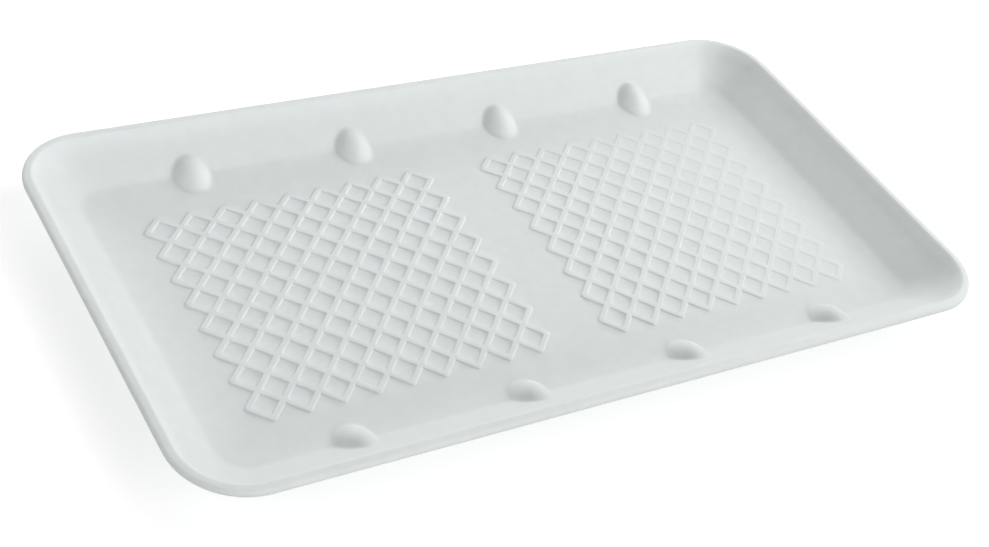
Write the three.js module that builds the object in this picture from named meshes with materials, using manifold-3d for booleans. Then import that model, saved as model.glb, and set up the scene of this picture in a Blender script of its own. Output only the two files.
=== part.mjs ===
// A shallow foam tray for prepared food, open at the top and moulded in one piece from a sheet of white
// foamed plastic: a crowned floor with two raised diamond lattices that turns up gently all round, sloping
// walls with a row of half-egg lugs along each long side, and a rim that turns outwards into a round lip.
// Millimetres, +Z up, long side along X. The origin lies under the middle of the tray, on the surface
// that it stands on.
import * as THREE from "three";
import { mergeVertices } from "three/addons/utils/BufferGeometryUtils.js";
import Module from "manifold-3d";

// Outline, seen from above. An inset is a distance inwards from the lip's outer edge.
const LENGTH = 375;
const WIDTH = 204.6;
const CORNER_RADIUS = 29.5; // at the lip
const FLOOR_CORNER_RADIUS = 5; // what the corners tighten towards, further in
const CORNER_EASE = 18; // the inset over which most of that tightening happens
const CORNER_STEPS = 7;

// Foam sheet
const FLOOR_FOAM = 4;
const WALL_FOAM = 3.5;

// Wall and rim section, from the floor outwards
const TURN_INSET = 40.5; // outside the lattices, where the floor starts to turn up
const TURN_RADIUS = 68;
const TURN_SLOPE = 14; // degrees from level, where the floor ends
const FOOT_FILLET = 9; // between floor and wall
const WALL_SLOPE = 33; // degrees from level
const BEND_INSET = 9.6; // the wall grows steeper from here up to the rim
const BEND_RADIUS = 15;
const TOP_SLOPE = 58;
const TOP_RISE = 1; // length of the short straight stretch at the steepest slope
const RIM_EDGE_RADIUS = 1.5;
const RIM_FALL = 6; // degrees by which the rim slopes down towards its lip
const LIP_RADIUS = 1.7;
const UNDER_LIP_FILLET = 1.2;
const BASE_FILLET = 6;

// Floor: crowned in the middle, carried by a flat band along the foot of the walls
const CROWN = 3.9;
const CROWN_INSET = 28; // where the crown of the upper side runs out
const BASE_BAND_INSET = 35; // inner edge of the flat band that the tray stands on
const FLOOR_GRID_INSET = 44; // edge of the upper side's inner part, which has square corners
const FLOOR_CELLS_X = 6;
const FLOOR_CELLS_Y = 4;

// Raised lattices: squares set on their points, in offset rows
const LATTICE_CENTRE_X = 78.9;
const CELL = 14.58; // from tip to tip of one diamond
const LATTICE_REACH_X = 8; // half cells from the middle column to the last one
const LATTICE_REACH_Y = 7;
const RIB_WIDTH = 2.6;
const RIB_HEIGHT = 0.8;
const RIB_ROOT = 1; // how far the ribs reach down into the foam

// Lugs at the foot of the long walls
const LUG_X = [-114, -38, 38, 114];
const LUG_CENTRE_Y = 78.8;
const LUG_CENTRE_Z = 6.1;
const LUG_LEAN = 22; // degrees, less than the wall's own slope, so that it runs out up the wall
const LUG_HALF_WIDTH = 8.6;
const LUG_HALF_LENGTH = 10; // along its lean
const LUG_HEIGHT = 5.4; // square to its lean, from the lug's middle
const LUG_ROOT = 2; // how far it reaches down into the foam
const LUG_SIDES = 12;
const LUG_RINGS = 8;

const SLIVER_AREA = 1e-6; // square millimetres, the largest triangle that counts as a line
const MERGE_DISTANCE = 1e-3;

const FOAM_COLOUR = 0xe4e9e9;
const FOAM_ROUGHNESS = 0.72;

const radians = THREE.MathUtils.degToRad;

// The wall's section as [inset, height] pairs. A section arc is drawn by the slope of the surface: at
// slope s, measured up towards the rim, the surface faces (sin s, cos s).
function sectionArc(centre, radius, fromSlope, toSlope, steps) {
  const points = [];
  for (let k = 0; k <= steps; k++) {
    const slope = radians(fromSlope + ((toSlope - fromSlope) * k) / steps);
    points.push([
      centre[0] + radius * Math.sin(slope),
      centre[1] + radius * Math.cos(slope),
    ]);
  }
  return points;
}

function stepBack(point, slope, distance) {
  return [
    point[0] - distance * Math.sin(radians(slope)),
    point[1] - distance * Math.cos(radians(slope)),
  ];
}

// Inner side: floor turning up, foot fillet, straight wall, bend, short steep stretch, rim edge.
const turnCentre = [TURN_INSET, FLOOR_FOAM + TURN_RADIUS];
const turnEnd = stepBack(turnCentre, TURN_SLOPE, TURN_RADIUS);
const footCentre = stepBack(turnEnd, TURN_SLOPE, -FOOT_FILLET);
const footEnd = stepBack(footCentre, WALL_SLOPE, FOOT_FILLET);
const bendStart = [
  BEND_INSET,
  footEnd[1] + (footEnd[0] - BEND_INSET) * Math.tan(radians(WALL_SLOPE)),
];
const bendCentre = stepBack(bendStart, WALL_SLOPE, -BEND_RADIUS);
const bendEnd = stepBack(bendCentre, TOP_SLOPE, BEND_RADIUS);
const steepEnd = [
  bendEnd[0] - TOP_RISE * Math.cos(radians(TOP_SLOPE)),
  bendEnd[1] + TOP_RISE * Math.sin(radians(TOP_SLOPE)),
];
const rimEdgeCentre = stepBack(steepEnd, TOP_SLOPE, RIM_EDGE_RADIUS);

// Lip: a round edge that the falling rim runs into.
const rimFallStart = stepBack(rimEdgeCentre, -RIM_FALL, -RIM_EDGE_RADIUS);
const lipCentre = [
  LIP_RADIUS,
  rimFallStart[1] -
    (rimFallStart[0] - LIP_RADIUS) * Math.tan(radians(RIM_FALL)) -
    LIP_RADIUS / Math.cos(radians(RIM_FALL)),
];
const lipBottom = lipCentre[1] - LIP_RADIUS;

// Outer side: the wall's bend and slope again, one foam thickness further out.
const outerBendRadius = BEND_RADIUS + WALL_FOAM;
const underLipReach = outerBendRadius + UNDER_LIP_FILLET;
const underLipSlope = THREE.MathUtils.radToDeg(
  Math.acos((bendCentre[1] + UNDER_LIP_FILLET - lipBottom) / underLipReach),
);
const underLipCentre = stepBack(bendCentre, underLipSlope, underLipReach);
const outerWallStart = stepBack(bendCentre, WALL_SLOPE, outerBendRadius);
const baseCorner =
  outerWallStart[0] + outerWallStart[1] / Math.tan(radians(WALL_SLOPE));
const baseCentre = [
  baseCorner + BASE_FILLET * Math.tan(radians(WALL_SLOPE / 2)),
  BASE_FILLET,
];

// The last number of each line is how many straight steps stand in for the arc.
const section = [
  ...sectionArc(turnCentre, -TURN_RADIUS, 0, TURN_SLOPE, 3),
  ...sectionArc(footCentre, -FOOT_FILLET, TURN_SLOPE, WALL_SLOPE, 2).slice(1),
  ...sectionArc(bendCentre, -BEND_RADIUS, WALL_SLOPE, TOP_SLOPE, 2),
  ...sectionArc(rimEdgeCentre, RIM_EDGE_RADIUS, TOP_SLOPE, -RIM_FALL, 3),
  ...sectionArc(lipCentre, LIP_RADIUS, -RIM_FALL, -90, 3),
  ...sectionArc(lipCentre, LIP_RADIUS, -90, -180, 2).slice(1),
  ...sectionArc(underLipCentre, UNDER_LIP_FILLET, 0, underLipSlope, 1),
  ...sectionArc(bendCentre, -outerBendRadius, underLipSlope, WALL_SLOPE, 2).slice(1),
  ...sectionArc(baseCentre, -BASE_FILLET, WALL_SLOPE, 0, 1),
];

// Height of the crown over a level floor, for a crown that runs out at edgeInset from the lip.
function crown(x, y, edgeInset) {
  const alongX = x / (LENGTH / 2 - edgeInset);
  const alongY = y / (WIDTH / 2 - edgeInset);
  const inside = Math.abs(alongX) < 1 && Math.abs(alongY) < 1;
  return inside ? CROWN * (1 - alongX ** 2) * (1 - alongY ** 2) : 0;
}

function floorTop(x, y) {
  return FLOOR_FOAM + crown(x, y, CROWN_INSET);
}

function floorUnderside(x, y) {
  return crown(x, y, BASE_BAND_INSET);
}

// One turn round the tray at an inset: a rounded rectangle, anticlockwise from above, always with the
// same number of points, so that two rings join point by point.
function outlineRing(inset, cornerRadius) {
  const halfX = LENGTH / 2 - inset;
  const halfY = WIDTH / 2 - inset;
  const reachX = halfX - cornerRadius;
  const reachY = halfY - cornerRadius;
  const ring = [];
  const side = (from, to, steps) => {
    for (let k = 0; k < steps; k++) {
      ring.push(from.clone().lerp(to, k / steps));
    }
  };
  const corner = (x, y, startAngle) => {
    for (let k = 0; k < CORNER_STEPS; k++) {
      const angle = radians(startAngle + (90 * k) / CORNER_STEPS);
      ring.push(
        new THREE.Vector2(
          x + cornerRadius * Math.cos(angle),
          y + cornerRadius * Math.sin(angle),
        ),
      );
    }
  };
  const at = (x, y) => new THREE.Vector2(x, y);
  side(at(-reachX, -halfY), at(reachX, -halfY), FLOOR_CELLS_X);
  corner(reachX, -reachY, -90);
  side(at(halfX, -reachY), at(halfX, reachY), FLOOR_CELLS_Y);
  corner(reachX, reachY, 0);
  side(at(reachX, halfY), at(-reachX, halfY), FLOOR_CELLS_X);
  corner(-reachX, reachY, 90);
  side(at(-halfX, reachY), at(-halfX, -reachY), FLOOR_CELLS_Y);
  corner(-reachX, -reachY, 180);
  return ring;
}

function cornerRadiusAt(inset) {
  const tightening = Math.exp(-inset / CORNER_EASE);
  return FLOOR_CORNER_RADIUS + (CORNER_RADIUS - FLOOR_CORNER_RADIUS) * tightening;
}

// Collects triangles, leaving out those that have shrunk to a line.
class Surface {
  constructor() {
    this.coordinates = [];
  }

  triangle(a, b, c) {
    const area = new THREE.Triangle(a, b, c).getArea();
    if (area < SLIVER_AREA) return;
    for (const p of [a, b, c]) {
      this.coordinates.push(p.x, p.y, p.z);
    }
  }

  quad(a, b, c, d) {
    this.triangle(a, b, c);
    this.triangle(a, c, d);
  }

  band(lower, upper) {
    for (let k = 0; k < lower.length; k++) {
      const next = (k + 1) % lower.length;
      this.quad(lower[k], lower[next], upper[next], upper[k]);
    }
  }

  geometry() {
    const loose = new THREE.BufferGeometry();
    loose.setAttribute(
      "position",
      new THREE.Float32BufferAttribute(this.coordinates, 3),
    );
    return mergeVertices(loose, MERGE_DISTANCE);
  }
}

// The floor inside its square-cornered inner ring, as a grid that meets the ring's points.
function addFloorGrid(surface, inset, height, facesUp) {
  const halfX = LENGTH / 2 - inset;
  const halfY = WIDTH / 2 - inset;
  const at = (i, j) => {
    const x = halfX * ((2 * i) / FLOOR_CELLS_X - 1);
    const y = halfY * ((2 * j) / FLOOR_CELLS_Y - 1);
    return new THREE.Vector3(x, y, height(x, y));
  };
  for (let i = 0; i < FLOOR_CELLS_X; i++) {
    for (let j = 0; j < FLOOR_CELLS_Y; j++) {
      const corners = [at(i, j), at(i + 1, j), at(i + 1, j + 1), at(i, j + 1)];
      if (!facesUp) corners.reverse();
      surface.quad(...corners);
    }
  }
}

// The bare tray: rings along the wall's section, closed by the floor's two faces. The crown reaches the
// rings of the floor's edge only.
function shellGeometry() {
  const surface = new Surface();
  const ringAt = (inset, radius, height) =>
    outlineRing(inset, radius).map(
      (p) => new THREE.Vector3(p.x, p.y, height(p.x, p.y)),
    );
  const rings = [ringAt(FLOOR_GRID_INSET, 0, floorTop)];
  for (const [inset, z] of section) {
    const height =
      inset > CROWN_INSET ? (x, y) => z + crown(x, y, CROWN_INSET) : () => z;
    rings.push(ringAt(inset, cornerRadiusAt(inset), height));
  }
  rings.push(ringAt(BASE_BAND_INSET, 0, () => 0));
  for (let k = 1; k < rings.length; k++) {
    surface.band(rings[k], rings[k - 1]);
  }
  addFloorGrid(surface, FLOOR_GRID_INSET, floorTop, true);
  addFloorGrid(surface, BASE_BAND_INSET, floorUnderside, false);
  return surface.geometry();
}

// One lattice as a mat with square holes, bent over the crown. Its lines lie at 45 degrees, so it is laid
// out in strips, alternately rib and hole, along two slanting directions. An even strip is a rib.
function latticeGeometry(centreX) {
  const surface = new Surface();
  const ribSpacing = CELL / Math.SQRT2;
  const isCell = (k, m) =>
    Math.abs(k - m) <= LATTICE_REACH_X && Math.abs(k + m + 1) <= LATTICE_REACH_Y;
  const neighbours = (strip) =>
    strip % 2 === 0 ? [strip / 2 - 1, strip / 2] : [(strip - 1) / 2];
  const isFoam = (a, b) =>
    (a % 2 === 0 || b % 2 === 0) &&
    neighbours(a).some((k) => neighbours(b).some((m) => isCell(k, m)));
  const stripEdge = (line) =>
    Math.floor(line / 2) * ribSpacing + (line % 2 === 0 ? -0.5 : 0.5) * RIB_WIDTH;
  const at = (lineA, lineB, isTop) => {
    const u = stripEdge(lineA);
    const v = stripEdge(lineB);
    const x = centreX + (u - v) / Math.SQRT2;
    const y = (u + v) / Math.SQRT2;
    const z = floorTop(x, y) + (isTop ? RIB_HEIGHT : -RIB_ROOT);
    return new THREE.Vector3(x, y, z);
  };
  const reach = LATTICE_REACH_X + LATTICE_REACH_Y + 2;
  for (let a = -reach; a <= reach; a++) {
    for (let b = -reach; b <= reach; b++) {
      if (!isFoam(a, b)) continue;
      const lines = [[a, b], [a + 1, b], [a + 1, b + 1], [a, b + 1]];
      const top = lines.map(([i, j]) => at(i, j, true));
      const foot = lines.map(([i, j]) => at(i, j, false));
      surface.quad(...top);
      surface.quad(...foot.toReversed());
      const beyond = [[a, b - 1], [a + 1, b], [a, b + 1], [a - 1, b]];
      beyond.forEach(([i, j], side) => {
        if (isFoam(i, j)) return;
        const next = (side + 1) % 4;
        surface.quad(foot[side], foot[next], top[next], top[side]);
      });
    }
  }
  return surface.geometry();
}

// One lug: half an egg that leans against the wall, with a shallow root in the foam. facing is +1 for the
// wall at +Y, -1 for the wall at -Y.
function lugGeometry(x, facing) {
  const egg = new THREE.SphereGeometry(1, LUG_SIDES, LUG_RINGS);
  const position = egg.getAttribute("position");
  const point = new THREE.Vector3();
  for (let k = 0; k < position.count; k++) {
    point.fromBufferAttribute(position, k);
    const depth = point.z > 0 ? LUG_HEIGHT : LUG_ROOT;
    position.setXYZ(
      k,
      LUG_HALF_WIDTH * point.x,
      LUG_HALF_LENGTH * point.y,
      depth * point.z,
    );
  }
  egg.rotateX(radians(LUG_LEAN));
  egg.translate(0, LUG_CENTRE_Y, LUG_CENTRE_Z);
  if (facing < 0) egg.rotateZ(Math.PI);
  egg.translate(x, 0, 0);
  egg.deleteAttribute("normal");
  egg.deleteAttribute("uv");
  return mergeVertices(egg, MERGE_DISTANCE);
}

const wasm = await Module();
wasm.setup();

function solidOf(geometry) {
  return new wasm.Manifold(
    new wasm.Mesh({
      numProp: 3,
      vertProperties: geometry.getAttribute("position").array,
      triVerts: new Uint32Array(geometry.index.array),
    }),
  );
}

function geometryOf(solid) {
  const mesh = solid.getMesh();
  const geometry = new THREE.BufferGeometry();
  geometry.setAttribute(
    "position",
    new THREE.BufferAttribute(mesh.vertProperties, 3),
  );
  geometry.setIndex(new THREE.BufferAttribute(mesh.triVerts, 1));
  geometry.computeVertexNormals();
  return geometry;
}

function trayGeometry() {
  const lattices = [-LATTICE_CENTRE_X, LATTICE_CENTRE_X].map(latticeGeometry);
  const lugs = [1, -1].flatMap((facing) => LUG_X.map((x) => lugGeometry(x, facing)));
  const tray = [...lattices, ...lugs].reduce(
    (joined, piece) => joined.add(solidOf(piece)),
    solidOf(shellGeometry()),
  );
  return geometryOf(tray);
}

const foam = new THREE.MeshStandardMaterial({
  color: FOAM_COLOUR,
  roughness: FOAM_ROUGHNESS,
  metalness: 0,
});

const foamTray = new THREE.Group();
const tray = new THREE.Mesh(trayGeometry(), foam);
tray.name = "foam_tray";
foamTray.add(tray);

export default foamTray;
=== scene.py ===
import math

import bpy
import numpy as np
from mathutils import Matrix, Vector
from mathutils.geometry import delaunay_2d_cdt


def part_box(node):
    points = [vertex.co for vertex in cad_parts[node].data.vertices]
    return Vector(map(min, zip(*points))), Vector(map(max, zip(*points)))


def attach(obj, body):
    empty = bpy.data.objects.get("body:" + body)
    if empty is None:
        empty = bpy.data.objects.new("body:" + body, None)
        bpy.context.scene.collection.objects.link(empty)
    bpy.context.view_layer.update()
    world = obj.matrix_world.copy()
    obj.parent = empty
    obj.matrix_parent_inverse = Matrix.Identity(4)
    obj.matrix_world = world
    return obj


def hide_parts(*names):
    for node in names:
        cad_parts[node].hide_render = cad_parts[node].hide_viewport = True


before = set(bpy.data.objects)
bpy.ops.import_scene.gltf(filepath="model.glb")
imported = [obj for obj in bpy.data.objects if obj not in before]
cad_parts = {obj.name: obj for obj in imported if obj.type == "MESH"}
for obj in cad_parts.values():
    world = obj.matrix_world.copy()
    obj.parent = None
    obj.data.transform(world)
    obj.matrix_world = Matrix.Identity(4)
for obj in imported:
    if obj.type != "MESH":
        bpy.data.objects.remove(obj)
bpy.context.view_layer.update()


# Camera. It looks down on the tray over its front left corner, turned a little on its own axis, so that
# the long sides climb to the right.
CAMERA_AZIMUTH = math.radians(-39.43)
CAMERA_ELEVATION = math.radians(39.73)
CAMERA_ROLL = math.radians(15.39)
CAMERA_DISTANCE = 0.7202
CAMERA_TARGET = Vector((-0.0177, -0.0140, 0.0079))
CAMERA_LENS = 63.155
CAMERA_SENSOR = 36

back = Vector((
    math.sin(CAMERA_AZIMUTH) * math.cos(CAMERA_ELEVATION),
    -math.cos(CAMERA_AZIMUTH) * math.cos(CAMERA_ELEVATION),
    math.sin(CAMERA_ELEVATION),
))
level = Vector((0, 0, 1)).cross(back).normalized()
upright = back.cross(level)
sideways = math.cos(CAMERA_ROLL) * level + math.sin(CAMERA_ROLL) * upright
upwards = math.cos(CAMERA_ROLL) * upright - math.sin(CAMERA_ROLL) * level

camera_data = bpy.data.cameras.new("camera")
camera_data.sensor_width = CAMERA_SENSOR
camera_data.sensor_fit = "HORIZONTAL"
camera_data.lens = CAMERA_LENS
camera = bpy.data.objects.new("camera", camera_data)
camera_place = Matrix((sideways, upwards, back)).transposed().to_4x4()
camera_place.translation = CAMERA_TARGET + back * CAMERA_DISTANCE
camera.matrix_world = camera_place
bpy.context.collection.objects.link(camera)
bpy.context.scene.camera = camera


# The bare tray. One sheet of foamed plastic, softened by heat and pressed between two moulds: a crowned
# floor that turns up gently all round, a wall that leans out, and a rim that rolls over into a round lip.
# An inset is a distance inwards from the lip's outer edge, and a slope is the surface's lean from level.
MM = 0.001
tray_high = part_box("foam_tray")[1]
HALF_LENGTH = tray_high.x
HALF_WIDTH = tray_high.y
CORNER_RADIUS = 29.5 * MM
FLOOR_CORNER_RADIUS = 5 * MM
CORNER_EASE = 18 * MM
FLOOR_FOAM = 4 * MM
WALL_FOAM = 3.5 * MM
TURN_INSET = 40.5 * MM
TURN_RADIUS = 68 * MM
TURN_SLOPE = math.radians(14)
FOOT_FILLET = 9 * MM
WALL_SLOPE = math.radians(33)
BEND_INSET = 9.6 * MM
BEND_RADIUS = 15 * MM
TOP_SLOPE = math.radians(58)
TOP_RISE = 1 * MM
RIM_EDGE_RADIUS = 1.5 * MM
RIM_FALL = math.radians(-6)
LIP_RADIUS = 1.7 * MM
LIP_SIDE = math.radians(-90)
LIP_BOTTOM = math.radians(-180)
UNDER_LIP_FILLET = 1.2 * MM
BASE_FILLET = 6 * MM
CROWN = 3.9 * MM
CROWN_INSET = 28 * MM
CROWN_EASE = 0.08
BASE_BAND_INSET = 35 * MM

TURN_STEPS = 10
FOOT_STEPS = 7
BEND_STEPS = 9
RIM_EDGE_STEPS = 9
LIP_STEPS = 10
LIP_BOTTOM_STEPS = 9
UNDER_LIP_STEPS = 3
OUTER_BEND_STEPS = 4
BASE_STEPS = 5
LUG_PITCH = 76 * MM
LUGS_IN_ROW = 4
LUG_WINDOW = 12 * MM
LUG_STEPS = 26
GAP_STEPS = 6
END_STEPS = 4
SHORT_SIDE_STEPS = 16
CORNER_STEPS = 20
TURN_GAP = 2.2 * MM
WALL_GAP = 0.9 * MM
UNDERSIDE_GAP = 4 * MM
INSIDE_ONLY = 1
SAME_POINT = 1e-7


def section_arc(centre, radius, from_slope, to_slope, steps):
    """Points of the wall's section along an arc that turns from one slope to another."""
    slopes = np.linspace(from_slope, to_slope, steps + 1)
    return np.column_stack([
        centre[0] + radius * np.sin(slopes),
        centre[1] + radius * np.cos(slopes),
    ])


def off(point, slope, distance):
    """The point at a distance from another, square to a surface of that slope."""
    return np.array(point) + distance * np.array([math.sin(slope), math.cos(slope)])


def spaced(points, gap):
    """The same broken line, with no two neighbours further apart than the gap."""
    result = [points[0]]
    for start, end in zip(points, points[1:]):
        steps = max(1, math.ceil(np.linalg.norm(end - start) / gap))
        result.extend(start + (end - start) * k / steps for k in range(1, steps + 1))
    return np.array(result)


turn_centre = (TURN_INSET, FLOOR_FOAM + TURN_RADIUS)
turn_end = off(turn_centre, TURN_SLOPE, -TURN_RADIUS)
foot_centre = off(turn_end, TURN_SLOPE, FOOT_FILLET)
foot_end = off(foot_centre, WALL_SLOPE, -FOOT_FILLET)
bend_start = (BEND_INSET, foot_end[1] + (foot_end[0] - BEND_INSET) * math.tan(WALL_SLOPE))
bend_centre = off(bend_start, WALL_SLOPE, BEND_RADIUS)
bend_end = off(bend_centre, TOP_SLOPE, -BEND_RADIUS)
steep_end = bend_end + TOP_RISE * np.array([-math.cos(TOP_SLOPE), math.sin(TOP_SLOPE)])
rim_edge_centre = off(steep_end, TOP_SLOPE, -RIM_EDGE_RADIUS)
rim_start = off(rim_edge_centre, RIM_FALL, RIM_EDGE_RADIUS)
lip_centre = (
    LIP_RADIUS,
    rim_start[1] + (rim_start[0] - LIP_RADIUS) * math.tan(RIM_FALL) - LIP_RADIUS / math.cos(RIM_FALL),
)
outer_bend_radius = BEND_RADIUS + WALL_FOAM
under_lip_reach = outer_bend_radius + UNDER_LIP_FILLET
under_lip_rise = bend_centre[1] + UNDER_LIP_FILLET - (lip_centre[1] - LIP_RADIUS)
under_lip_slope = math.acos(under_lip_rise / under_lip_reach)
under_lip_centre = off(bend_centre, under_lip_slope, -under_lip_reach)
outer_wall_start = off(bend_centre, WALL_SLOPE, -outer_bend_radius)
base_corner = outer_wall_start[0] + outer_wall_start[1] / math.tan(WALL_SLOPE)
base_centre = (base_corner + BASE_FILLET * math.tan(WALL_SLOPE / 2), BASE_FILLET)

turn_section = section_arc(turn_centre, -TURN_RADIUS, 0, TURN_SLOPE, TURN_STEPS)
wall_section = np.vstack([
    section_arc(foot_centre, -FOOT_FILLET, TURN_SLOPE, WALL_SLOPE, FOOT_STEPS)[1:],
    section_arc(bend_centre, -BEND_RADIUS, WALL_SLOPE, TOP_SLOPE, BEND_STEPS),
    section_arc(rim_edge_centre, RIM_EDGE_RADIUS, TOP_SLOPE, RIM_FALL, RIM_EDGE_STEPS),
    section_arc(lip_centre, LIP_RADIUS, RIM_FALL, LIP_SIDE, LIP_STEPS),
])
underside_section = np.vstack([
    section_arc(lip_centre, LIP_RADIUS, LIP_SIDE, LIP_BOTTOM, LIP_BOTTOM_STEPS)[1:],
    section_arc(under_lip_centre, UNDER_LIP_FILLET, 0, under_lip_slope, UNDER_LIP_STEPS),
    section_arc(bend_centre, -outer_bend_radius, under_lip_slope, WALL_SLOPE, OUTER_BEND_STEPS)[1:],
    section_arc(base_centre, -BASE_FILLET, WALL_SLOPE, 0, BASE_STEPS),
    [(BASE_BAND_INSET, 0)],
])


def crown(x, y, edge_inset, ease):
    """How far the floor rises towards its middle, easing out to nothing at its edge."""
    def share(place, half):
        left = 1 - (place / half) ** 2
        eased = np.clip(left + ease, 0, 2 * ease) ** 2 / (4 * ease)
        return np.where(left > ease, left, eased)
    return CROWN * share(x, HALF_LENGTH - edge_inset) * share(y, HALF_WIDTH - edge_inset)


def long_side(reach):
    """Places along a long side, close together where a lug stands."""
    lugs = (np.arange(LUGS_IN_ROW) - (LUGS_IN_ROW - 1) / 2) * LUG_PITCH
    windows = [x + side * LUG_WINDOW for x in lugs for side in (-1, 1)]
    marks = [-reach, *windows, reach]
    steps = [END_STEPS] + [LUG_STEPS, GAP_STEPS] * (LUGS_IN_ROW - 1) + [LUG_STEPS, END_STEPS]
    stretches = zip(marks, marks[1:], steps)
    return np.concatenate([np.linspace(a, b, n, endpoint=False) for a, b, n in stretches])


def outline(inset):
    """One turn round the tray, anticlockwise from above: a rounded rectangle, tighter further in."""
    tightening = math.exp(-inset / CORNER_EASE)
    radius = FLOOR_CORNER_RADIUS + (CORNER_RADIUS - FLOOR_CORNER_RADIUS) * tightening
    half_x, half_y = HALF_LENGTH - inset, HALF_WIDTH - inset
    reach_x, reach_y = half_x - radius, half_y - radius
    along = long_side(reach_x)
    across = np.linspace(-reach_y, reach_y, SHORT_SIDE_STEPS, endpoint=False)
    turn = np.linspace(0, math.pi / 2, CORNER_STEPS, endpoint=False)
    half_turn = np.vstack([
        np.column_stack([along, np.full_like(along, -half_y)]),
        np.column_stack([reach_x + radius * np.sin(turn), -reach_y - radius * np.cos(turn)]),
        np.column_stack([np.full_like(across, half_x), across]),
        np.column_stack([reach_x + radius * np.cos(turn), reach_y + radius * np.sin(turn)]),
    ])
    return np.vstack([half_turn, -half_turn])


def fill_ring(ring, loose):
    """Triangles over the inside of a closed ring, through the loose points in it."""
    edges = [(k, (k + 1) % len(ring)) for k in range(len(ring))]
    plan = [Vector(p) for p in np.vstack([ring, loose])]
    found = delaunay_2d_cdt(plan, edges, [], INSIDE_ONLY, SAME_POINT, True)
    triangles, origins = found[2:4]
    return np.array([[origins[v][0] for v in triangle] for triangle in triangles])


# The diamond lattices' plan. Each is a field of square cells set on their points, pressed into the floor
# by the upper mould. Lines of the floor's mesh run along every rib, so that its soft edges come out even.
LATTICE_CENTRE = 78.9 * MM
CELL = 14.58 * MM
CELLS_REACH_X = 8
CELLS_REACH_Y = 7
RIB_TOP = 0.85 * MM
RIB_FOOT = 1.6 * MM
RIB_LINES = np.array([0.8, 0.98, 1.15, 1.3, 1.47, 1.65]) * MM
FLOOR_GRID = 6 * MM
LATTICE_MARGIN = 2.2 * MM
LATTICE_CLEARANCE = 3 * MM
EDGE_CLEARANCE = 0.3 * MM
rib_spacing = CELL / math.sqrt(2)


def in_lattice(x, y, margin):
    """Whether a plan point lies on a lattice, or no further off than the margin."""
    u = (np.abs(x) - LATTICE_CENTRE + y) / math.sqrt(2)
    v = (y - np.abs(x) + LATTICE_CENTRE) / math.sqrt(2)
    found = np.zeros(np.shape(x), bool)
    for du in (-margin, 0, margin):
        for dv in (-margin, 0, margin):
            k = np.floor((u + du) / rib_spacing)
            m = np.floor((v + dv) / rib_spacing)
            found |= (np.abs(k - m) <= CELLS_REACH_X) & (np.abs(k + m + 1) <= CELLS_REACH_Y)
    return found


def lattice_points():
    """Crossings of the lines along the ribs, on both lattices."""
    offsets = np.concatenate([-RIB_LINES[::-1], RIB_LINES, [rib_spacing / 2]])
    reach = (CELLS_REACH_X + CELLS_REACH_Y) // 2 + 2
    lines = (np.arange(-reach, reach + 1)[:, None] * rib_spacing + offsets).ravel()
    u, v = (field.ravel() for field in np.meshgrid(lines, lines))
    x, y = (u - v) / math.sqrt(2) + LATTICE_CENTRE, (u + v) / math.sqrt(2)
    kept = in_lattice(x, y, LATTICE_MARGIN) & (x > 0) & (x < HALF_LENGTH - TURN_INSET - EDGE_CLEARANCE)
    kept &= np.abs(y) < HALF_WIDTH - TURN_INSET - EDGE_CLEARANCE
    right = np.column_stack([x[kept], y[kept]])
    return np.vstack([right, right * (-1, 1)])


def floor_points(inset, gap, clear_of_lattice):
    """An even spread of plan points inside an inset, off the lattices if asked."""
    half_x, half_y = HALF_LENGTH - inset - gap / 2, HALF_WIDTH - inset - gap / 2
    across = np.linspace(-half_x, half_x, round(2 * half_x / gap) + 1)
    along = np.linspace(-half_y, half_y, round(2 * half_y / gap) + 1)
    x, y = (field.ravel() for field in np.meshgrid(across, along))
    kept = ~in_lattice(x, y, clear_of_lattice) if clear_of_lattice else np.full(x.shape, True)
    return np.column_stack([x[kept], y[kept]])


# The tray's skin: rings along the section, closed by the floor's two faces. The points of its upper side
# are marked, because the lattices and lugs are raised on that side alone.
top_rings = np.vstack([spaced(turn_section, TURN_GAP), spaced(wall_section, WALL_GAP)])
under_rings = spaced(underside_section, UNDERSIDE_GAP)
ring_points = len(outline(0))
corners = []
for inset, height in top_rings:
    ring = outline(inset)
    rise = crown(ring[:, 0], ring[:, 1], CROWN_INSET, CROWN_EASE)
    corners.append(np.column_stack([ring, height + rise]))
for inset, height in under_rings:
    ring = outline(inset)
    corners.append(np.column_stack([ring, np.full(ring_points, height)]))

ring_count = len(corners)
faces = []
for k in range(ring_count - 1):
    here = k * ring_points + np.arange(ring_points)
    ahead = k * ring_points + (np.arange(ring_points) + 1) % ring_points
    faces.extend(zip(here, here + ring_points, ahead + ring_points, ahead))

floor_ring = outline(TURN_INSET)
floor_loose = np.vstack([
    lattice_points(),
    floor_points(TURN_INSET, FLOOR_GRID, LATTICE_CLEARANCE),
])
floor_faces = fill_ring(floor_ring, floor_loose)
floor_start = ring_count * ring_points
floor_numbers = np.concatenate([np.arange(ring_points), floor_start + np.arange(len(floor_loose))])
faces.extend(map(tuple, floor_numbers[floor_faces]))
rise = crown(floor_loose[:, 0], floor_loose[:, 1], CROWN_INSET, CROWN_EASE)
corners.append(np.column_stack([floor_loose, FLOOR_FOAM + rise]))

base_ring = outline(BASE_BAND_INSET)
base_loose = floor_points(BASE_BAND_INSET, FLOOR_GRID, 0)
base_faces = fill_ring(base_ring, base_loose)
base_start = floor_start + len(floor_loose)
base_numbers = np.concatenate([
    (ring_count - 1) * ring_points + np.arange(ring_points),
    base_start + np.arange(len(base_loose)),
])
faces.extend(tuple(face[::-1]) for face in base_numbers[base_faces])
corners.append(np.column_stack([
    base_loose,
    crown(base_loose[:, 0], base_loose[:, 1], BASE_BAND_INSET, CROWN_EASE),
]))

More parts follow.
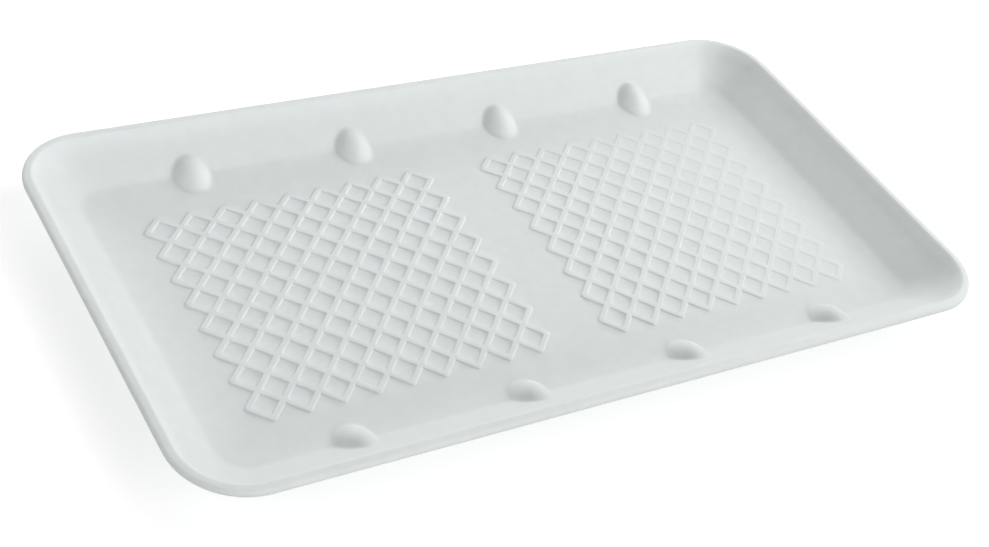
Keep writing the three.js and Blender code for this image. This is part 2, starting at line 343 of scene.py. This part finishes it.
skin = bpy.data.meshes.new("bare_tray")
skin.from_pydata(np.vstack(corners).tolist(), [], [tuple(map(int, face)) for face in faces])
upper = np.zeros(base_start + len(base_loose), np.float32)
upper[: len(top_rings) * ring_points] = 1
upper[floor_start:base_start] = 1
skin.attributes.new("upper_side", "FLOAT", "POINT").data.foreach_set("value", upper)
bare_tray = bpy.data.objects.new("bare_tray", skin)
bpy.context.collection.objects.link(bare_tray)


# The foam. Fine closed cells under a thin matt skin: white with a cool cast, slightly see-through, faintly
# mottled where the cells are larger, with a grain that is felt more than seen.
FOAM_WHITE = (0.745, 0.775, 0.771, 1)
FOAM_DIM = (0.725, 0.757, 0.753, 1)
FOAM_ROUGHNESS = (0.42, 0.52)
FOAM_IOR = 1.4
GLOW_DEPTH = 1 * MM
MOTTLE_SCALE = 160
MOTTLE_DETAIL = 4
TINT_RANGE = (0.35, 0.65)
POLISH_RANGE = (0.3, 0.7)
CELL_SCALE = 1500
CELL_SHARE = -0.5
GRAIN_SCALE = 700
GRAIN_DETAIL = 3
GRAIN_STRENGTH = 0.5
GRAIN_HEIGHT = 0.05 * MM


def link_or_set(tree, socket, value):
    """Feeds a socket from another one, or sets it."""
    if isinstance(value, bpy.types.NodeSocket):
        tree.links.new(value, socket)
    else:
        socket.default_value = value


def add_node(tree, kind, inputs=None, **settings):
    """A node of that kind, its settings made and its inputs fed, by name or number."""
    made = tree.nodes.new(kind)
    for name, value in settings.items():
        setattr(made, name, value)
    for name, value in (inputs or {}).items():
        link_or_set(tree, made.inputs[name], value)
    return made


def add_math(tree, operation, *values):
    """The result of one sum."""
    made = add_node(tree, "ShaderNodeMath", operation=operation)
    for socket, value in zip(made.inputs, values):
        link_or_set(tree, socket, value)
    return made.outputs[0]


foam = bpy.data.materials.new("white_foam")
foam.use_nodes = True
paint = foam.node_tree
surface = paint.nodes["Principled BSDF"]
surface.inputs["Subsurface Weight"].default_value = 1.0
surface.inputs["Subsurface Radius"].default_value = (1.0, 1.0, 1.0)
surface.inputs["Subsurface Scale"].default_value = GLOW_DEPTH
surface.inputs["IOR"].default_value = FOAM_IOR
place = add_node(paint, "ShaderNodeTexCoord").outputs["Object"]
mottle = add_node(paint, "ShaderNodeTexNoise", {
    "Vector": place, "Scale": MOTTLE_SCALE, "Detail": MOTTLE_DETAIL,
})
tint = add_node(paint, "ShaderNodeValToRGB", {"Fac": mottle.outputs["Fac"]})
tint.color_ramp.elements[0].position = TINT_RANGE[0]
tint.color_ramp.elements[0].color = FOAM_DIM
tint.color_ramp.elements[1].position = TINT_RANGE[1]
tint.color_ramp.elements[1].color = FOAM_WHITE
paint.links.new(tint.outputs["Color"], surface.inputs["Base Color"])
polish = add_node(paint, "ShaderNodeMapRange", {
    "Value": mottle.outputs["Fac"], "From Min": POLISH_RANGE[0], "From Max": POLISH_RANGE[1],
    "To Min": FOAM_ROUGHNESS[0], "To Max": FOAM_ROUGHNESS[1],
})
paint.links.new(polish.outputs["Result"], surface.inputs["Roughness"])
cells = add_node(paint, "ShaderNodeTexVoronoi", {"Vector": place, "Scale": CELL_SCALE})
grain = add_node(paint, "ShaderNodeTexNoise", {
    "Vector": place, "Scale": GRAIN_SCALE, "Detail": GRAIN_DETAIL,
})
texture = add_math(
    paint, "ADD",
    add_math(paint, "MULTIPLY", cells.outputs["Distance"], CELL_SHARE),
    grain.outputs["Fac"],
)
bump = add_node(paint, "ShaderNodeBump", {
    "Height": texture, "Strength": GRAIN_STRENGTH, "Distance": GRAIN_HEIGHT,
})
paint.links.new(bump.outputs["Normal"], surface.inputs["Normal"])


# Lattices and lugs. The mould presses the diamond ribs and the lugs out of the hot sheet, so both are
# raised from the tray's own skin: the ribs by their distance from the cells' edges, the lugs by eggs that
# lean up the wall and push the skin up from below.
RIB_HEIGHT = 0.65 * MM
FAINT_RIB_SHARE = 0.25
FADE_START = 0
FADE_END = 145 * MM
FADE_LEAN = 0.35
CELL_CORNER = 1.4 * MM
LUG_ROW_Y = 80.2 * MM
LUG_CENTRE_Z = 3.4 * MM
LUG_HALF_WIDTH = 8.3 * MM
LUG_HALF_LENGTH = 10.9 * MM
LUG_HEIGHT = 8.1 * MM
LUG_LEAN = math.radians(27)
LUG_BLEND = 2.4 * MM
EGG_SEGMENTS = 64
EGG_RINGS = 48
REACH_SLACK = 1 * MM
ON_A_CELL = 1e-6
LOOK_DOWN_FROM = 50 * MM

relief = bpy.data.node_groups.new("tray_relief", "GeometryNodeTree")
relief.interface.new_socket("Geometry", in_out="INPUT", socket_type="NodeSocketGeometry")
relief.interface.new_socket("Geometry", in_out="OUTPUT", socket_type="NodeSocketGeometry")
relief_sizes = {
    "Rib Spacing": rib_spacing,
    "Lattice Centre": LATTICE_CENTRE,
    "Reach X": CELLS_REACH_X * CELL / 2,
    "Reach Y": CELLS_REACH_Y * CELL / 2,
    "Rib Top": RIB_TOP,
    "Rib Foot": RIB_FOOT,
    "Rib Height": RIB_HEIGHT,
    "Faint Rib Share": FAINT_RIB_SHARE,
    "Fade Start": FADE_START,
    "Fade End": FADE_END,
    "Fade Lean": FADE_LEAN,
    "Cell Corner": CELL_CORNER,
    "Lug Pitch": LUG_PITCH,
    "Lug Row": LUG_ROW_Y,
    "Lug Centre Height": LUG_CENTRE_Z,
    "Lug Half Width": LUG_HALF_WIDTH,
    "Lug Half Length": LUG_HALF_LENGTH,
    "Lug Height": LUG_HEIGHT,
    "Lug Lean": LUG_LEAN,
    "Lug Blend": LUG_BLEND,
}
relief_sockets = {
    name: relief.interface.new_socket(name, in_out="INPUT", socket_type="NodeSocketFloat").identifier
    for name in relief_sizes
}
given = add_node(relief, "NodeGroupInput").outputs

point = add_node(relief, "GeometryNodeInputPosition").outputs[0]
point_x, point_y, point_z = add_node(relief, "ShaderNodeSeparateXYZ", {0: point}).outputs

# Cells of the lattices: a grid turned by 45 degrees, cut down to the cells whose middles are in reach.
cells_across = CELLS_REACH_X + CELLS_REACH_Y + 1
grid_size = add_math(relief, "MULTIPLY", given["Rib Spacing"], float(cells_across))
grid = add_node(relief, "GeometryNodeMeshGrid", {
    "Size X": grid_size, "Size Y": grid_size,
    "Vertices X": cells_across + 1, "Vertices Y": cells_across + 1,
})
turned = add_node(relief, "GeometryNodeTransform", {
    "Geometry": grid.outputs["Mesh"], "Rotation": (0, 0, math.pi / 4),
})
too_far_x = add_math(relief, "GREATER_THAN", add_math(relief, "ABSOLUTE", point_x),
                     add_math(relief, "ADD", given["Reach X"], REACH_SLACK))
too_far_y = add_math(relief, "GREATER_THAN", add_math(relief, "ABSOLUTE", point_y),
                     add_math(relief, "ADD", given["Reach Y"], REACH_SLACK))
in_reach = add_node(relief, "GeometryNodeDeleteGeometry", {
    "Geometry": turned.outputs[0], "Selection": add_math(relief, "MAXIMUM", too_far_x, too_far_y),
}, domain="FACE")
fields = add_node(relief, "GeometryNodeJoinGeometry")
for side in (1.0, -1.0):
    shift = add_node(relief, "ShaderNodeCombineXYZ", {
        "X": add_math(relief, "MULTIPLY", given["Lattice Centre"], side),
    })
    moved = add_node(relief, "GeometryNodeTransform", {
        "Geometry": in_reach.outputs[0], "Translation": shift.outputs[0],
    })
    relief.links.new(moved.outputs[0], fields.inputs[0])

# Distance from the nearest rib's middle: inside the cells by two sets of slanting lines, rounded where
# they meet, and outside them by the way to the nearest cell.
flat_place = add_node(relief, "ShaderNodeCombineXYZ", {"X": point_x, "Y": point_y})
way_to_cells = add_node(relief, "GeometryNodeProximity", {
    0: fields.outputs[0], "Sample Position": flat_place.outputs[0],
}, target_element="FACES").outputs["Distance"]
field_x = add_math(relief, "SUBTRACT", add_math(relief, "ABSOLUTE", point_x), given["Lattice Centre"])
half_spacing = add_math(relief, "DIVIDE", given["Rib Spacing"], 2.0)
slants = []
for operation in ("ADD", "SUBTRACT"):
    slant = add_math(relief, "DIVIDE", add_math(relief, operation, point_y, field_x), math.sqrt(2))
    slants.append(add_math(relief, "PINGPONG", slant, half_spacing))
inside_way = add_math(relief, "SMOOTH_MIN", *slants, given["Cell Corner"])
outside = add_math(relief, "GREATER_THAN", way_to_cells, ON_A_CELL)
rib_way = add_node(relief, "ShaderNodeMix", {
    "Factor": outside, "A": inside_way, "B": way_to_cells,
}).outputs[0]

# The ribs stand lower, and so come out fainter, towards the back right corner.
rib_share = add_node(relief, "ShaderNodeMapRange", {
    "Value": add_math(relief, "MULTIPLY_ADD", point_y, given["Fade Lean"], point_x),
    "From Min": given["Fade Start"], "From Max": given["Fade End"],
    "To Min": 1.0, "To Max": given["Faint Rib Share"],
}, interpolation_type="SMOOTHSTEP").outputs[0]
rib_rise = add_node(relief, "ShaderNodeMapRange", {
    "Value": rib_way, "From Min": given["Rib Top"], "From Max": given["Rib Foot"],
    "To Min": add_math(relief, "MULTIPLY", given["Rib Height"], rib_share), "To Max": 0.0,
}, interpolation_type="SMOOTHSTEP").outputs[0]

# Eggs under the lugs, one row along each long wall.
egg = add_node(relief, "GeometryNodeMeshUVSphere", {
    "Segments": EGG_SEGMENTS, "Rings": EGG_RINGS, "Radius": 1.0,
})
egg_size = add_node(relief, "ShaderNodeCombineXYZ", {
    "X": given["Lug Half Width"], "Y": given["Lug Half Length"], "Z": given["Lug Height"],
})
egg_lean = add_node(relief, "ShaderNodeCombineXYZ", {"X": given["Lug Lean"]})
egg_place = add_node(relief, "ShaderNodeCombineXYZ", {
    "Y": given["Lug Row"], "Z": given["Lug Centre Height"],
})
leaning_egg = add_node(relief, "GeometryNodeTransform", {
    "Geometry": egg.outputs["Mesh"], "Scale": egg_size.outputs[0],
    "Rotation": egg_lean.outputs[0], "Translation": egg_place.outputs[0],
})
row_start = add_node(relief, "ShaderNodeCombineXYZ", {
    "X": add_math(relief, "MULTIPLY", given["Lug Pitch"], (1 - LUGS_IN_ROW) / 2),
})
row_step = add_node(relief, "ShaderNodeCombineXYZ", {"X": given["Lug Pitch"]})
row = add_node(relief, "GeometryNodeMeshLine", {
    "Count": LUGS_IN_ROW, "Start Location": row_start.outputs[0], "Offset": row_step.outputs[0],
})
back_lugs = add_node(relief, "GeometryNodeInstanceOnPoints", {
    "Points": row.outputs[0], "Instance": leaning_egg.outputs[0],
})
front_lugs = add_node(relief, "GeometryNodeTransform", {
    "Geometry": back_lugs.outputs[0], "Rotation": (0, 0, math.pi),
})
both_rows = add_node(relief, "GeometryNodeJoinGeometry")
relief.links.new(back_lugs.outputs[0], both_rows.inputs[0])
relief.links.new(front_lugs.outputs[0], both_rows.inputs[0])
eggs = add_node(relief, "GeometryNodeRealizeInstances", {0: both_rows.outputs[0]})

# Every point of the upper side takes the rib's rise, or the egg's back where that is higher. Where no egg
# lies below a point, the egg's height is taken a whole metre down, out of the way.
above = add_node(relief, "ShaderNodeCombineXYZ", {"X": point_x, "Y": point_y, "Z": LOOK_DOWN_FROM})
sight = add_node(relief, "GeometryNodeRaycast", {
    "Target Geometry": eggs.outputs[0], "Source Position": above.outputs[0],
    "Ray Direction": (0, 0, -1), "Ray Length": LOOK_DOWN_FROM,
})
egg_back = add_math(relief, "SUBTRACT", LOOK_DOWN_FROM, sight.outputs["Hit Distance"])
egg_height = add_math(relief, "SUBTRACT", egg_back,
                      add_math(relief, "SUBTRACT", 1.0, sight.outputs["Is Hit"]))
ribbed = add_math(relief, "ADD", point_z, rib_rise)
raised = add_math(relief, "SMOOTH_MAX", ribbed, egg_height, given["Lug Blend"])
is_upper = add_node(relief, "GeometryNodeInputNamedAttribute", {"Name": "upper_side"}).outputs[0]
shaped = add_node(relief, "GeometryNodeSetPosition", {
    "Geometry": given["Geometry"], "Selection": is_upper,
    "Position": add_node(relief, "ShaderNodeCombineXYZ", {
        "X": point_x, "Y": point_y, "Z": raised,
    }).outputs[0],
})
whole = add_node(relief, "GeometryNodeRealizeInstances", {0: shaped.outputs[0]})
finished = add_node(relief, "GeometryNodeSetMaterial", {"Geometry": whole.outputs[0], "Material": foam})
add_node(relief, "NodeGroupOutput", {"Geometry": finished.outputs[0]})

press = bare_tray.modifiers.new("press", "NODES")
press.node_group = relief
for name, size in relief_sizes.items():
    press[relief_sockets[name]] = size
pressed = bare_tray.evaluated_get(bpy.context.evaluated_depsgraph_get())
tray_mesh = bpy.data.meshes.new_from_object(pressed)
tray_mesh.name = "moulded_tray"
tray = bpy.data.objects.new("moulded_tray", tray_mesh)
bpy.context.collection.objects.link(tray)
bpy.data.objects.remove(bare_tray)
tray_mesh.shade_smooth()

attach(tray, "root")
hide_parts("foam_tray")


# The studio: a plain white floor that glows a little, so that shadows stay faint, soft lamps all round it,
# and a small near one on the right. The floor takes the tray's shadow but doesn't light it: an even light
# from below stands in for what it would throw back.
FLOOR_SIZE = 6
FLOOR_WHITE = (0.95, 0.95, 0.95, 1)
FLOOR_ROUGHNESS = 0.9
FLOOR_GLOW = 0.4
SKY_STRENGTH = 0.02
UNDER_STRENGTH = 0.5
HORIZON_WIDTH = 0.02
LAMP_WIDTH = math.radians(40)

# Each soft lamp's direction and height, in degrees, and its strength.
LOW = 16
HIGH = 38
SOFT_LAMPS = {
    "key_lamp": (0, HIGH, 1.04),
    "key_fill": (300, HIGH, 0.68),
    "back_right_fill": (60, HIGH, 0.24),
    "left_fill": (180, HIGH, 0.55),
    "front_lamp": (270, LOW, 1.12),
    "front_right_lamp": (315, LOW, 0.22),
    "back_lamp": (90, LOW, 1),
    "back_right_lamp": (45, LOW, 0.48),
    "back_left_lamp": (135, LOW, 0.55),
    "front_left_lamp": (225, LOW, 0.35),
}
NEAR_LAMP_PLACE = Vector((0.8, 0.15, 0.6))
NEAR_LAMP_SIZE = 0.5
NEAR_LAMP_POWER = 1.8

floor_mesh = bpy.data.meshes.new("studio_floor")
half = FLOOR_SIZE / 2
floor_corners = [(-half, -half, 0), (half, -half, 0), (half, half, 0), (-half, half, 0)]
floor_mesh.from_pydata(floor_corners, [], [(0, 1, 2, 3)])
floor = bpy.data.objects.new("studio_floor", floor_mesh)
floor_white = bpy.data.materials.new("floor_white")
floor_white.use_nodes = True
floor_paint = floor_white.node_tree.nodes["Principled BSDF"].inputs
floor_paint["Base Color"].default_value = FLOOR_WHITE
floor_paint["Roughness"].default_value = FLOOR_ROUGHNESS
floor_paint["Emission Color"].default_value = (1, 1, 1, 1)
floor_paint["Emission Strength"].default_value = FLOOR_GLOW
floor_mesh.materials.append(floor_white)
bpy.context.collection.objects.link(floor)
floor.visible_diffuse = False
floor.visible_glossy = False

sky = bpy.data.worlds.new("studio_light")
sky.use_nodes = True
sky.node_tree.nodes["Background"].inputs["Color"].default_value = (1, 1, 1, 1)
sky_direction = add_node(sky.node_tree, "ShaderNodeTexCoord").outputs["Generated"]
sky_height = add_node(sky.node_tree, "ShaderNodeSeparateXYZ", {0: sky_direction}).outputs["Z"]
sky_light = add_node(sky.node_tree, "ShaderNodeMapRange", {
    "Value": sky_height, "From Min": 0.0, "From Max": HORIZON_WIDTH,
    "To Min": UNDER_STRENGTH, "To Max": SKY_STRENGTH,
}).outputs[0]
sky.node_tree.links.new(sky_light, sky.node_tree.nodes["Background"].inputs["Strength"])
bpy.context.scene.world = sky

for name, (turn, height, strength) in SOFT_LAMPS.items():
    lamp_data = bpy.data.lights.new(name, "SUN")
    lamp_data.angle = LAMP_WIDTH
    lamp_data.energy = strength
    lamp = bpy.data.objects.new(name, lamp_data)
    towards = Matrix.Rotation(math.radians(turn), 3, "Z") @ Vector(
        (math.cos(math.radians(height)), 0, math.sin(math.radians(height))))
    lamp.location = towards
    lamp.rotation_euler = towards.to_track_quat("Z", "Y").to_euler()
    bpy.context.collection.objects.link(lamp)

near_data = bpy.data.lights.new("near_lamp", "AREA")
near_data.shape = "DISK"
near_data.size = NEAR_LAMP_SIZE
near_data.energy = NEAR_LAMP_POWER
near_lamp = bpy.data.objects.new("near_lamp", near_data)
near_lamp.location = NEAR_LAMP_PLACE
near_lamp.rotation_euler = NEAR_LAMP_PLACE.to_track_quat("Z", "Y").to_euler()
bpy.context.collection.objects.link(near_lamp)

bpy.context.scene.view_settings.view_transform = "Standard"
